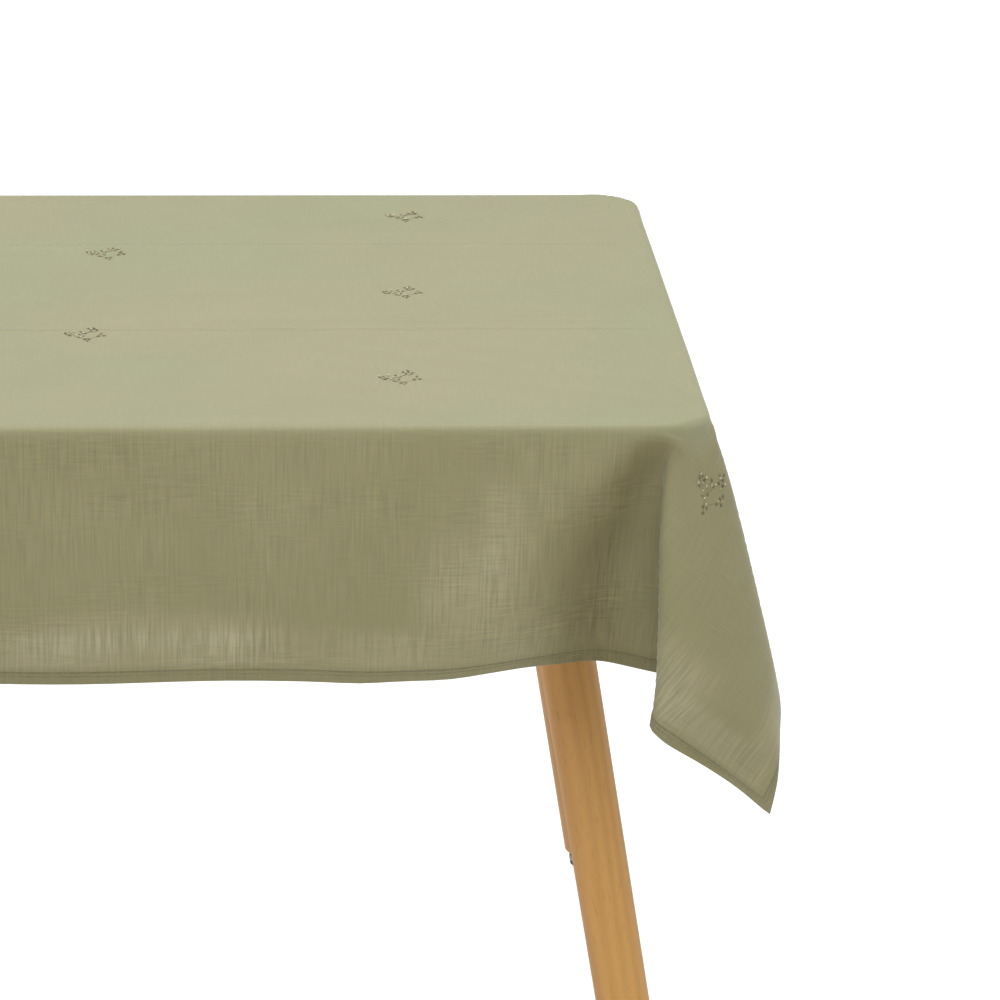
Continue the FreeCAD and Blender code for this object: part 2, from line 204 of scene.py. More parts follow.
def board_contact(points):
    """Distance from the board's rounded corner and the way out of it, for each point."""
    along, across = points[..., 0] + BOARD_CORNER_RADIUS, points[..., 1] + BOARD_CORNER_RADIUS
    along_out, across_out = np.maximum(along, 0), np.maximum(across, 0)
    radial = np.hypot(along_out, across_out)
    side = radial + np.minimum(np.maximum(along, across), 0) - BOARD_CORNER_RADIUS + BOARD_EDGE_RADIUS
    height = points[..., 2] + BOARD_THICKNESS / 2
    above = np.abs(height) - BOARD_THICKNESS / 2 + BOARD_EDGE_RADIUS
    side_out, above_out = np.maximum(side, 0), np.maximum(above, 0)
    rim = np.hypot(side_out, above_out)
    distance = np.minimum(np.maximum(side, above), 0) + rim - BOARD_EDGE_RADIUS
    east = np.where(radial > 0, along_out / np.maximum(radial, 1e-9), (along >= across) * 1.0)
    north = np.where(radial > 0, across_out / np.maximum(radial, 1e-9), (across > along) * 1.0)
    level = np.where(rim > 0, side_out / np.maximum(rim, 1e-9), (side > above) * 1.0)
    rise = np.where(rim > 0, above_out / np.maximum(rim, 1e-9), (above >= side) * 1.0) * np.sign(height)
    return distance, np.stack([level * east, level * north, rise], -1)


def drape_corners(shapes):
    """Hangs the cloth over one table corner for each pair of hem guides.

    Local axes: out past the table's end, out past its long side, up from the board.
    """
    count = TOP_CELLS + DROP_CELLS + 1
    flat = (np.arange(count) - TOP_CELLS) * CELL
    along, across = np.meshgrid(flat, flat, indexing="ij")
    x = np.zeros((len(shapes), count, count, 3))
    x[..., 0], x[..., 1], x[..., 2] = along, across, CLEARANCE
    pinned = (along < -PINNED_INSIDE) & (across < -PINNED_INSIDE)
    hem = np.maximum(along, across) > DROP - HEM_WIDTH - HEM_TOLERANCE
    weight = (np.where(pinned, 0.0, 1.0) / np.where(hem, HEM_MASS, 1.0))[None, :, :, None]
    weight = weight * np.ones((len(shapes), 1, 1, 1))
    free = weight > 0
    bend_soft = 1 / (BENDING_LENGTH ** 3 * GRAVITY / CELL ** 4 * TIME_STEP ** 2)
    shear_soft = SHEAR_SOFTNESS / TIME_STEP ** 2

    edges, shears, bends = [], [], []
    for first in (0, 1):
        span = (count - 1 - first) // 2 * 2
        a, b = slice(first, first + span, 2), slice(first + 1, first + 1 + span, 2)
        low, high, whole = slice(None, -1), slice(1, None), slice(None)
        for one, two in (((whole, a), (whole, b)), ((whole, whole, a), (whole, whole, b))):
            edges.append((x[one], x[two], weight[one], weight[two], CELL, 0.0))
        for one, two in (((whole, a, low), (whole, b, high)), ((whole, a, high), (whole, b, low))):
            shears.append((x[one], x[two], weight[one], weight[two], CELL * math.sqrt(2), shear_soft))
    for first in range(3):
        end = first + 3 * ((count - first) // 3)
        parts = [slice(first + k, end, 3) for k in range(3)]
        for axis, hem_side in ((1, across), (2, along)):
            soft = np.where(hem_side > DROP - HEM_WIDTH, 1 / HEM_STIFFNESS, 1.0)[None, :, :, None] * bend_soft
            keys = [(slice(None),) * axis + (part,) for part in parts]
            bends.append([x[k] for k in keys] + [weight[k] for k in keys] + [soft[keys[1]]])

    led = np.where(flat >= LED_FROM)[0]
    hold = np.interp(flat[led], [-0.32, -0.2, DROP], [0.2, 1, 1])[:, None]
    front = np.stack([guide_points(pair[0], flat[led]) for pair in shapes])
    end_side = np.stack([guide_points(pair[1], flat[led])[:, [1, 0, 2]] for pair in shapes])
    folds = [fold_lines(pair) for pair in shapes]
    flank = np.where(np.abs(along - across) > 2 * CELL, np.sign(along - across), 0)[None]

    velocity = np.zeros_like(x)
    for step in range(STEPS):
        velocity[..., 2] -= GRAVITY * TIME_STEP
        velocity *= 1 - DAMPING * TIME_STEP
        before = x.copy()
        x += velocity * TIME_STEP * free
        for item in bends:
            flatten(*item)
        for item in shears:
            pull_together(*item)
        for item in edges * STRETCH_PASSES:
            pull_together(*item)
        led_share = GUIDE_STRENGTH * min(1.0, max(0.0, (step / STEPS - LED_START) / LED_RISE))
        x[:, led, -1] += (front - x[:, led, -1]) * led_share * hold
        x[:, -1, led] += (end_side - x[:, -1, led]) * led_share * hold
        for shape, (row, column, place) in enumerate(folds):
            x[shape, row, column] += (place - x[shape, row, column]) * led_share * FOLD_HOLD
        x[:, 0, :, 0] = flat[0]
        x[:, :, 0, 1] = flat[0]
        distance, way_out = board_contact(x)
        touching = (distance < CLEARANCE)[..., None]
        x += way_out * np.where(touching, CLEARANCE - distance[..., None], 0) * free
        moved = x - before
        slide = moved - (moved * way_out).sum(-1, keepdims=True) * way_out
        grip = np.where(way_out[..., 2:] > 0.7, TOP_FRICTION, EDGE_FRICTION)
        x -= np.where(touching, slide * grip, 0) * free
        short = np.maximum(FLANK_GAP - (x[..., 0] - x[..., 1]) * flank, 0) * np.abs(flank) / 2
        x[..., 0] += short * flank
        x[..., 1] -= short * flank
        velocity = (x - before) / TIME_STEP
    hanging = (np.maximum(along, across) > HANGING_FROM)[1:-1, 1:-1, None]
    for _ in range(SMOOTHING_PASSES):
        mean = (x[:, :-2, 1:-1] + x[:, 2:, 1:-1] + x[:, 1:-1, :-2] + x[:, 1:-1, 2:]) / 4
        x[:, 1:-1, 1:-1] += (mean - x[:, 1:-1, 1:-1]) * 0.5 * hanging
    return x, flat


# ---------------------------------------------------------------- the whole sheet
def hem_sway(side, along):
    """How far the hem of a straight side swings out, along that side."""
    waves = {"front": (0.645, 0.30, 0.0038, 0.0035), "back": (0.10, 0.47, 0.0040, 0.0),
             "left": (0.05, 0.42, 0.0030, 0.001), "right": (-0.08, 0.36, 0.0030, 0.0)}
    phase, wave, size, rest = waves[side]
    return rest + size * np.cos(2 * math.pi * (along - phase) / wave)


class Sheet:
    """The draped cloth's middle surface, as a function of where a point is on the flat cloth."""

    def __init__(self, corners, flat, top):
        self.top = top
        self.half = (round(CLOTH_LENGTH / 2 / CELL), round(CLOTH_WIDTH / 2 / CELL))
        u = np.arange(-self.half[0], self.half[0] + 1) * CELL
        v = np.arange(-self.half[1], self.half[1] + 1) * CELL
        self.grid = self.straight_sides(u, v, corners["near"], flat)
        for name, (sx, sy) in CORNERS.items():
            self.set_corner(corners[SHAPE_OF[name]], flat, sx, sy)
        grid = self.grid
        grid = np.concatenate([2 * grid[:1] - grid[1:2], grid, 2 * grid[-1:] - grid[-2:-1]], 0)
        before, after = 2 * grid[:, :1] - grid[:, 1:2], 2 * grid[:, -1:] - grid[:, -2:-1]
        self.grid = np.concatenate([before, grid, after], 1)

    def straight_sides(self, u, v, corner, flat):
        """Top and hanging sides away from the corners, with the simulated roll over the edge."""
        out, fall = corner[0, :, 1].copy(), corner[0, :, 2].copy()
        bend = int(np.searchsorted(flat, 0.05))
        run = flat[bend:] - flat[bend]
        out[bend:] = out[bend] * (1 - run / run[-1])
        fall[bend:] = fall[bend] - np.sqrt(run ** 2 - (out[bend] - out[bend:]) ** 2)
        uu, vv = np.meshgrid(u, v, indexing="ij")
        past_end, past_side = np.abs(uu) - HALF_LENGTH, np.abs(vv) - HALF_DEPTH
        grid = np.stack([uu, vv, np.full_like(uu, self.top + CLEARANCE)], -1)
        for mask, past, other, axis, names in (
                (past_side > past_end, past_side, uu, 1, ("front", "back")),
                (past_side <= past_end, past_end, vv, 0, ("left", "right"))):
            low = vv < 0 if axis == 1 else uu < 0
            swing = np.where(low, hem_sway(names[0], other), hem_sway(names[1], other))
            reach = np.interp(past, flat, out) + swing * np.clip(past / DROP, 0, 1) ** 1.4
            sign = np.where(low, -1, 1)
            edge = HALF_DEPTH if axis == 1 else HALF_LENGTH
            near_edge = mask & (past > flat[0])
            grid[..., axis] = np.where(near_edge, sign * (edge + reach), grid[..., axis])
            grid[..., 2] = np.where(near_edge, self.top + np.interp(past, flat, fall), grid[..., 2])
        return grid

    def set_corner(self, corner, flat, sx, sy):
        """Lays a simulated corner into the sheet and eases it into the straight sides."""
        count = len(flat)
        rows = self.half[0] + sx * (self.half[0] - (count - 1) + np.arange(count))
        columns = self.half[1] + sy * (self.half[1] - (count - 1) + np.arange(count))
        place = np.stack([sx * (HALF_LENGTH + corner[..., 0]), sy * (HALF_DEPTH + corner[..., 1]),
                          self.top + corner[..., 2]], -1)
        inward = smoothstep(flat, -CORNER_SPAN, -0.27)
        share = (inward[:, None] * inward[None, :])[..., None]
        where = np.ix_(rows, columns)
        self.grid[where] = self.grid[where] * (1 - share) + place * share

    def relief(self, u, v):
        """Pressed creases and faint wrinkles on the flat top."""
        inside = smoothstep(HALF_LENGTH - np.abs(u), 0.01, 0.09)
        inside = inside * smoothstep(HALF_DEPTH - np.abs(v), 0.01, 0.09)
        pressed = 0.00085 * np.exp(-((v - FRONT_CREASE) / 0.0030) ** 2)
        pressed += 0.00050 * np.exp(-((v - SHORT_CREASE) / 0.0030) ** 2) * smoothstep(u, *SHORT_CREASE_RISE)
        pressed += 0.00055 * np.exp(-((v - BACK_CREASE) / 0.0030) ** 2)
        creased = 0.00080 * np.sin((0.42 * u + v) * 2 * math.pi / 0.062) * smoothstep(
            np.sin(5.1 * u + 1.0) * np.sin(7.3 * v + 0.4), 0.1, 0.9)
        creased += 0.00070 * np.sin((0.9 * u - v) * 2 * math.pi / 0.085 + 1.3) * smoothstep(
            np.sin(4.3 * u - 0.7) * np.sin(6.1 * v + 2.1), 0.1, 0.9)
        return (pressed + creased) * inside

    def wrinkle(self, u, v):
        """Small slanting wrinkles, as a push along the cloth's normal."""
        total = np.zeros_like(u)
        for cu, cv, angle, length, width, size in WRINKLES:
            du, dv = u - cu, v - cv
            far = du * math.cos(angle) + dv * math.sin(angle)
            side = -du * math.sin(angle) + dv * math.cos(angle)
            total += size * np.exp(-(far / length) ** 2 - (side / width) ** 2)
        return total

    def smooth(self, u, v):
        """A smooth surface through the grid, kept clear of the board."""
        total = 0
        parts = []
        for value, half in ((u, self.half[0]), (v, self.half[1])):
            place = value / CELL + half
            cell = np.clip(np.floor(place).astype(int), 0, 2 * half - 1)
            t = place - cell
            parts.append((cell, (-t ** 3 + 2 * t ** 2 - t, 3 * t ** 3 - 5 * t ** 2 + 2,
                                 -3 * t ** 3 + 4 * t ** 2 + t, t ** 3 - t ** 2)))
        (row, row_share), (column, column_share) = parts
        for i in range(4):
            for j in range(4):
                share = (row_share[i] * column_share[j] / 4)[..., None]
                total = total + self.grid[row + i, column + j] * share
        total[..., 2] += self.relief(u, v)
        mirror = np.sign(total[..., :2])
        past = np.abs(total[..., :2]) - (HALF_LENGTH, HALF_DEPTH)
        local = np.concatenate([past, total[..., 2:] - self.top], -1)
        distance, way_out = board_contact(local)
        way_out[..., :2] *= mirror
        rounded = smoothstep(local[..., 0], -0.060, -0.045) * smoothstep(local[..., 1], -0.060, -0.045)
        clearance = LEAST_CLEARANCE + (CORNER_CLEARANCE - LEAST_CLEARANCE) * rounded
        return total + way_out * np.maximum(clearance - distance, 0)[..., None]

    def point(self, u, v):
        """Points and unit normals, right side of the cloth outwards."""
        step = 0.0012
        along = self.smooth(u + step, v) - self.smooth(u - step, v)
        across = self.smooth(u, v + step) - self.smooth(u, v - step)
        normal = np.cross(along, across)
        normal /= np.linalg.norm(normal, axis=-1, keepdims=True) + 1e-12
        return self.smooth(u, v) + normal * self.wrinkle(u, v)[..., None], normal


def grid_lines(edge, stops, steps, extra=()):
    """Where the mesh is cut across the flat cloth: fine over the board's edge, at the corners and hem."""
    hem = edge - np.array(HEM_LINES)
    ends = [*stops, hem[0]]
    parts = [np.linspace(low, high, count, endpoint=False)
             for low, high, count in zip(ends[:-1], ends[1:], steps)]
    half = np.concatenate([*parts, hem])
    return np.unique(np.round(np.concatenate([-half[:0:-1], half, extra]), 6))


def mesh_object(name, points, faces, materials, smooth=True):
    mesh = bpy.data.meshes.new(name)
    mesh.from_pydata(points.tolist(), [], faces.tolist() if hasattr(faces, "tolist") else faces)
    for material in materials:
        mesh.materials.append(material)
    if smooth:
        mesh.polygons.foreach_set("use_smooth", np.ones(len(mesh.polygons), dtype=bool))
    mesh.update()
    piece = bpy.data.objects.new(name, mesh)
    bpy.context.scene.collection.objects.link(piece)
    return piece


def point_attribute(piece, name, values):
    attribute = piece.data.attributes.new(name, "FLOAT", "POINT")
    attribute.data.foreach_set("value", np.asarray(values, np.float32).ravel())


def painted_backlight(u, v):
    """Painted light: where light comes through the hanging cloth, it is painted paler."""
    fallen = np.maximum(np.abs(u) - HALF_LENGTH, np.abs(v) - HALF_DEPTH)
    low = smoothstep(fallen, 0.192, 0.205) * (1 - smoothstep(fallen, 0.232, 0.240))
    patchy = 0.55 + 0.45 * np.sin(23.0 * u + 9.0 * v) * np.sin(17.0 * u - 11.0 * v + 1.0)
    total = 0.75 * low * patchy
    for cu, cv, ru, rv, size in BACKLIT_PATCHES:
        total += size * np.exp(-((u - cu) / ru) ** 4 - ((v - cv) / rv) ** 4)
    return np.clip(total, 0, 1)


def painted_corner_shade(u, v):
    """Painted shade: how much darker the cloth is painted beside each corner, where tucked-in folds lie
    behind it.
    """
    total = np.zeros_like(u)
    for past, other in ((np.abs(u) - HALF_LENGTH, np.abs(v) - HALF_DEPTH),
                        (np.abs(v) - HALF_DEPTH, np.abs(u) - HALF_LENGTH)):
        down = np.clip(other / DROP, 0, 1)
        aside = past + 0.046 + 0.058 * np.sin(np.minimum(down / 0.65, 1) * math.pi / 2)
        outer = 0.016 + 0.036 * np.minimum(down / 0.4, 1)
        width = np.where(aside < 0, outer, 0.022 + 0.030 * down)
        inner = 1 - smoothstep(past, -0.020 + 0.05 * down, 0.010 + 0.08 * down)
        shade = np.exp(-np.abs(aside / width) ** 2.4) * smoothstep(other, 0.0, 0.016) * inner
        total = np.maximum(total, shade)
    return total


def build_cloth(sheet, materials):
    """Right and wrong sides of the cloth, closed round the folded edge of the hem."""
    creases = [c + d for c in (FRONT_CREASE, SHORT_CREASE, BACK_CREASE) for d in (-0.0035, 0.0, 0.0035)]
    stops_u = (0.0, 0.55, 0.80, HALF_LENGTH - 0.052, HALF_LENGTH - 0.006, HALF_LENGTH + 0.006)
    stops_v = (0.0, 0.35, HALF_DEPTH - 0.052, HALF_DEPTH - 0.006, HALF_DEPTH + 0.006)
    lines_u = grid_lines(CLOTH_LENGTH / 2, stops_u, (20, 14, 13, 12, 6, 35))
    lines_v = grid_lines(CLOTH_WIDTH / 2, stops_v, (30, 6, 12, 6, 35), creases)
    u, v = np.meshgrid(lines_u, lines_v, indexing="ij")
    middle, normal = sheet.point(u, v)
    inset = np.minimum(CLOTH_LENGTH / 2 - np.abs(u), CLOTH_WIDTH / 2 - np.abs(v))
    section = np.array(HEM_SECTION)
    outer = np.interp(inset, section[:, 0], section[:, 1] * HEM_OUTER)
    inner = np.interp(inset, section[:, 0], section[:, 2] * HEM_INNER)
    right = middle + normal * outer[..., None]
    wrong = middle - normal * inner[..., None]
    rows, columns = u.shape
    index = np.arange(rows * columns).reshape(rows, columns)
    rim = np.concatenate([index[:, 0], index[-1, 1:], index[-2::-1, -1], index[0, -2:0:-1]])
    second = np.full(rows * columns, -1)
    inside = np.setdiff1d(index.ravel(), rim)
    second[inside] = rows * columns + np.arange(len(inside))
    second[rim] = rim
    points = np.concatenate([right.reshape(-1, 3), wrong.reshape(-1, 3)[inside]])
    quads = np.stack([index[:-1, :-1], index[1:, :-1], index[1:, 1:], index[:-1, 1:]], -1).reshape(-1, 4)
    faces = np.concatenate([quads, second[quads][:, ::-1]])
    piece = mesh_object("tablecloth", points, faces, materials)
    flat = np.stack([u.ravel(), v.ravel()], -1)
    flat = np.concatenate([flat, flat[inside]])
    layer = piece.data.uv_layers.new(name="flat_cloth")
    corners = np.zeros(len(piece.data.loops), np.int32)
    piece.data.loops.foreach_get("vertex_index", corners)
    layer.data.foreach_set("uv", flat[corners].astype(np.float32).ravel())
    fallen = np.maximum(np.abs(flat[:, 0]) - HALF_LENGTH, np.abs(flat[:, 1]) - HALF_DEPTH)
    # Where the cloth hangs: it sets the painted tints of the lit top and the shaded sides, and how strongly
    # the slub shows.
    point_attribute(piece, "hanging", smoothstep(fallen, -0.010, 0.014))
    # Painted shade beside each corner, where tucked-in folds lie behind the cloth.
    point_attribute(piece, "painted_corner_shade", painted_corner_shade(flat[:, 0], flat[:, 1]))
    both = np.minimum(np.abs(flat[:, 0]) - HALF_LENGTH, np.abs(flat[:, 1]) - HALF_DEPTH)
    point_attribute(piece, "fold", smoothstep(both, -0.04, 0.01))
    # Painted light where light comes through the hanging cloth.
    point_attribute(piece, "backlight_paint", painted_backlight(flat[:, 0], flat[:, 1]))
    edge = np.minimum(CLOTH_LENGTH / 2 - np.abs(flat[:, 0]), CLOTH_WIDTH / 2 - np.abs(flat[:, 1]))
    point_attribute(piece, "hem", 1 - smoothstep(edge, 0.0118, 0.0126))
    # Painted shade along the pressed creases on the top, added to a darker line along the hem's inner edge.
    crease = np.exp(-((flat[:, 1] - FRONT_CREASE) / 0.0022) ** 2)
    crease += 0.6 * np.exp(-((flat[:, 1] - BACK_CREASE) / 0.0022) ** 2)
    short = np.exp(-((flat[:, 1] - SHORT_CREASE) / 0.0022) ** 2)
    crease += 0.6 * short * smoothstep(flat[:, 0], *SHORT_CREASE_RISE)
    crease *= 0.34 * smoothstep(-fallen, 0.01, 0.06)
    point_attribute(piece, "hem_line_and_crease_shade", np.exp(-((edge - 0.0120) / 0.0007) ** 2) + crease)
    return piece


# ---------------------------------------------------------------- threads
def threads(name, centres, ups, radius, sides, material, flatness=1.0):
    """Closed tubes along many short centre lines. centres and ups: threads x points x 3."""
    count, length = centres.shape[:2]
    forward = np.gradient(centres, axis=1)
    forward /= np.linalg.norm(forward, axis=-1, keepdims=True) + 1e-12
    across = np.cross(forward, ups)
    across /= np.linalg.norm(across, axis=-1, keepdims=True) + 1e-12
    lift = np.cross(across, forward)
    angle = np.arange(sides) * 2 * math.pi / sides
    radius = np.broadcast_to(radius, (count, length))[..., None, None]
    ring = across[:, :, None] * np.cos(angle)[:, None] + lift[:, :, None] * np.sin(angle)[:, None] * flatness
    points = centres[:, :, None] + ring * radius
    index = np.arange(count * length * sides).reshape(count, length, sides)
    turned = np.roll(index, -1, axis=2)
    faces = np.stack([index[:, :-1], index[:, 1:], turned[:, 1:], turned[:, :-1]], -1).reshape(-1, 4).tolist()
    faces += index[:, 0, :].tolist()
    faces += index[:, -1, ::-1].tolist()
    return mesh_object(name, points.reshape(-1, 3), faces, [material])


def stitch_places(inset, rng):
    """Flat positions and directions of each stitch in one row round the hem."""
    places = []
    for half, other, axis in ((CLOTH_LENGTH / 2 - inset, CLOTH_WIDTH / 2 - inset, 0),
                              (CLOTH_WIDTH / 2 - inset, CLOTH_LENGTH / 2 - inset, 1)):
        count = int(2 * half / STITCH_PITCH)
        for side in (-1, 1):
            along = np.linspace(-half, half, count, endpoint=False) + half / count
            along = along + rng.normal(0, 0.00012, count)
            edge = side * other + rng.normal(0, 0.00010, count)
            start = np.stack([along, edge], -1) if axis == 0 else np.stack([edge, along], -1)
            direction = np.zeros((count, 2))
            direction[:, axis] = 1
            places.append((start, direction))
    return np.concatenate([p[0] for p in places]), np.concatenate([p[1] for p in places])


def build_stitching(sheet, name, material, side, points_each, sides_each):
    """Both rows of hem stitches on the right side (1) or the wrong side (-1) of the cloth."""
    rng = np.random.default_rng(11 + side)
    centres, ups = [], []
    for inset in STITCH_ROWS:
        place, direction = stitch_places(inset, rng)
        reach = np.linspace(-0.5, 0.5, points_each) * STITCH_LENGTH
        flat = place[:, None] + direction[:, None] * reach[None, :, None]
        point, normal = sheet.point(flat[..., 0], flat[..., 1])
        arch = 1 - (2 * reach / STITCH_LENGTH) ** 2
        surface = HEM_OUTER * 0.55 if side > 0 else HEM_INNER * 0.85
        height = side * (surface - 0.00012 + 0.00036 * arch)
        centres.append(point + normal * height[None, :, None])
        ups.append(normal)
    return threads(name, np.concatenate(centres), np.concatenate(ups), STITCH_RADIUS, sides_each, material)


# ---------------------------------------------------------------- embroidery
# One sprig, in millimetres from its middle: stems as start, bend and end.
STEMS = [((1, -22), (-2, -12), (-7, -4)), ((-7, -4), (-12, 1), (-19, 4)), ((-5, -7), (0, 4), (6, 19)),
         ((0, -13), (8, -8), (18, 1)), ((-5, -4), (-6, 4), (-4, 11))]
# Leaves: middle and heading in degrees. Knots: middle.
LEAVES = [(-20, 5, 150), (-16, -2, 215), (-13, 6, 60), (-17, 8, 105), (3, 20, 110), (9, 19, 55),
          (5, 13, 150), (11, 14, 20), (-8, -8, 200), (-3, -3, 120), (1, -21, 250), (3, -15, 330),
          (-2, -16, 220), (14, 2, 40), (18, -3, 0), (12, -5, 330), (16, 6, 70),
          (-5, 11, 130), (0, 7, 80), (8, 24, 85)]
KNOTS = [(-19, 0), (-14, 2), (-21, 8), (-10, -3), (-5, -9), (-8, 3), (4, 17), (8, 11), (12, 18), (17, 1),
         (13, -2), (0, -12), (-3, 6), (2, 10), (-12, 9)]
STITCH_RUN = 0.0026
STRANDS = 5
KNOT_POINTS = 18
KNOT_TURNS = 1.6
KNOT_THREAD = 0.00046


def sprig_centres():
    """Where the sprigs lie on the flat cloth."""
    found = []
    for column in range(1, -7, -1):
        x = SPRIG_FIRST[0] + column * SPRIG_STEP[0]
        shift = 0.5 * (column % 2)
        for row in range(-3, 4):
            y = SPRIG_FIRST[1] + (row + shift) * SPRIG_STEP[1]
            here = x + SPRIG_SKEW * (y - SPRIG_FIRST[1])
            if column == 1:
                here, y = here + END_COLUMN_SLIP[0], y + END_COLUMN_SLIP[1]
            if abs(here) < CLOTH_LENGTH / 2 - SPRIG_MARGIN and abs(y) < CLOTH_WIDTH / 2 - SPRIG_MARGIN:
                if not (abs(y) > HALF_DEPTH - 0.03 and abs(here) < HALF_LENGTH - 0.02):
                    found.append((here, y))
    return np.array(found)


def quadratic(start, bend, end, t):
    start, bend, end = (np.array(p) / 1000 for p in (start, bend, end))
    t = t[:, None]
    return start * (1 - t) ** 2 + 2 * bend * t * (1 - t) + end * t * t


def sprig_threads(centres, seed):
    """Flat paths of stem stitches and leaf stitches for every sprig."""
    rng = np.random.default_rng(seed)
    stems, leaves = [], []
    for centre in centres:
        turn = rng.normal(0, 0.06)
        spin = np.array([[math.cos(turn), -math.sin(turn)], [math.sin(turn), math.cos(turn)]])
        for shape in STEMS:
            length = math.dist(shape[0], shape[2]) / 1000
            count = max(3, round(length / STITCH_RUN))
            for k in range(count):
                t = np.clip(np.linspace(k - 0.12, k + 1.12, 4) / count, 0, 1)
                stems.append(centre + quadratic(*shape, t) @ spin.T)
        for x, y, heading in LEAVES:
            size = rng.uniform(0.0034, 0.0048)
            heading = math.radians(heading) + rng.normal(0, 0.15)
            along = np.array([math.cos(heading), math.sin(heading)])
            across = np.array([-along[1], along[0]])
            base = np.array([x, y]) / 1000 - along * size / 2
            for strand in range(STRANDS):
                off = (strand - STRANDS // 2) / (STRANDS // 2)
                reach = size * (1 - 0.28 * off * off)
                run = np.linspace(0.10 * abs(off), 1, 4)
                bulge = np.sin(math.pi * np.clip(run, 0.04, 0.98)) * size * 0.27 * off
                path = base + along * (run * reach)[:, None] + across * bulge[:, None]
                leaves.append(centre + path @ spin.T)
    return np.array(stems), np.array(leaves)


def lay_threads(sheet, name, flat, radius, height, arch, sides, material):
    point, normal = sheet.point(flat[..., 0], flat[..., 1])
    lift = height + arch * np.array([0, 1, 1, 0])
    taper = np.array([0.6, 1, 1, 0.6]) * radius
    centres = point + normal * (HALF_CLOTH + lift)[None, :, None]
    return threads(name, centres, normal, taper[None, :], sides, material, 0.8)


def build_knots(sheet, centres, material):
    """French knots: a thread wound round and closing in as it rises."""
    rng = np.random.default_rng(5)
    places = np.concatenate([centre + np.array(KNOTS) / 1000 + rng.normal(0, 0.0006, (len(KNOTS), 2))
                             for centre in centres])
    point, normal = sheet.point(places[:, 0], places[:, 1])
    count = len(places)
    turns = np.arange(KNOT_POINTS) / (KNOT_POINTS - 1) * 2 * KNOT_TURNS * math.pi
    start = rng.uniform(0, 2 * math.pi, count)
    size = rng.uniform(0.9, 1.3, count)
    angle = start[:, None] + turns[None]
    radial = np.linspace(0.00088, 0.00040, KNOT_POINTS)[None] * size[:, None]
    height = np.linspace(0.00035, 0.00095, KNOT_POINTS)[None] * size[:, None]
    side = np.cross(normal, np.array([0.3, 0.5, 0.8]))
    side /= np.linalg.norm(side, axis=-1, keepdims=True)
    other = np.cross(normal, side)
    centre_line = (point[:, None] + side[:, None] * (radial * np.cos(angle))[..., None]
                   + other[:, None] * (radial * np.sin(angle))[..., None]
                   + normal[:, None] * (HALF_CLOTH + height)[..., None])
    ups = np.broadcast_to(normal[:, None], centre_line.shape)
    radius = KNOT_THREAD * size[:, None] * np.ones((1, KNOT_POINTS))
    return threads("sprig_knots", centre_line, ups, radius, 6, material)


# ---------------------------------------------------------------- materials
class Paint:
    """A node material being built up."""

    def __init__(self, name):
        self.material = bpy.data.materials.new(name)
        self.material.use_nodes = True
        self.tree = self.material.node_tree
        self.tree.nodes.clear()
        self.output = self.tree.nodes.new("ShaderNodeOutputMaterial")

    def add(self, kind, inputs=None, output=0, **settings):
        node = self.tree.nodes.new("ShaderNode" + kind)
        for key, value in settings.items():
            setattr(node, key, value)
        for key, value in (inputs or {}).items():
            if isinstance(value, bpy.types.NodeSocket):
                self.tree.links.new(value, node.inputs[key])
            else:
                node.inputs[key].default_value = value
        return node.outputs[output]

    def math(self, operation, *values):
        return self.add("Math", dict(enumerate(values)), operation=operation)

    def stretch(self, vector, scale, offset=(0, 0, 0)):
        return self.add("Mapping", {"Vector": vector, "Scale": scale, "Location": offset})

    def noise(self, vector, scale=1.0, detail=2.0, roughness=0.5, distortion=0.0):
        return self.add("TexNoise", {"Vector": vector, "Scale": scale, "Detail": detail,
                                     "Roughness": roughness, "Distortion": distortion})

    def band(self, value, low, high, to_low=0.0, to_high=1.0):
        return self.add("MapRange", {"Value": value, "From Min": low, "From Max": high,
                                     "To Min": to_low, "To Max": to_high}, interpolation_type="SMOOTHSTEP")

    def attribute(self, name):
        return self.add("Attribute", output="Fac", attribute_name=name)

    def mix(self, share, a, b, blend="MIX"):
        return self.add("Mix", {0: share, 6: a, 7: b}, output=2, data_type="RGBA", blend_type=blend)

    def bump(self, height, strength, distance):
        return self.add("Bump", {"Height": height, "Strength": strength, "Distance": distance})

    def finish(self, color, roughness, bump=None, **constants):
        inputs = {"Base Color": color, "Roughness": roughness}
        if bump is not None:
            inputs["Normal"] = bump
        shader = self.add("BsdfPrincipled", inputs)
        for key, value in constants.items():
            shader.node.inputs[key.replace("_", " ")].default_value = value
        self.tree.links.new(shader, self.output.inputs["Surface"])
        return self.material


def linear(*srgb):
    """Linear RGBA from 0-255 display values."""
    values = [c / 255 for c in srgb]
    return tuple(c / 12.92 if c <= 0.04045 else ((c + 0.055) / 1.055) ** 2.4 for c in values) + (1.0,)


# How far a leg leans outwards for each metre down, along and across the table.
LEG_LEAN = (0.1665, 0.2319)
# Colour of the painted light where light comes through the hanging cloth.
BACKLIT_COLOR = (150, 144, 116)
# Colour of the painted shade beside the corners.
CORNER_SHADE_COLOR = (109, 102, 71)


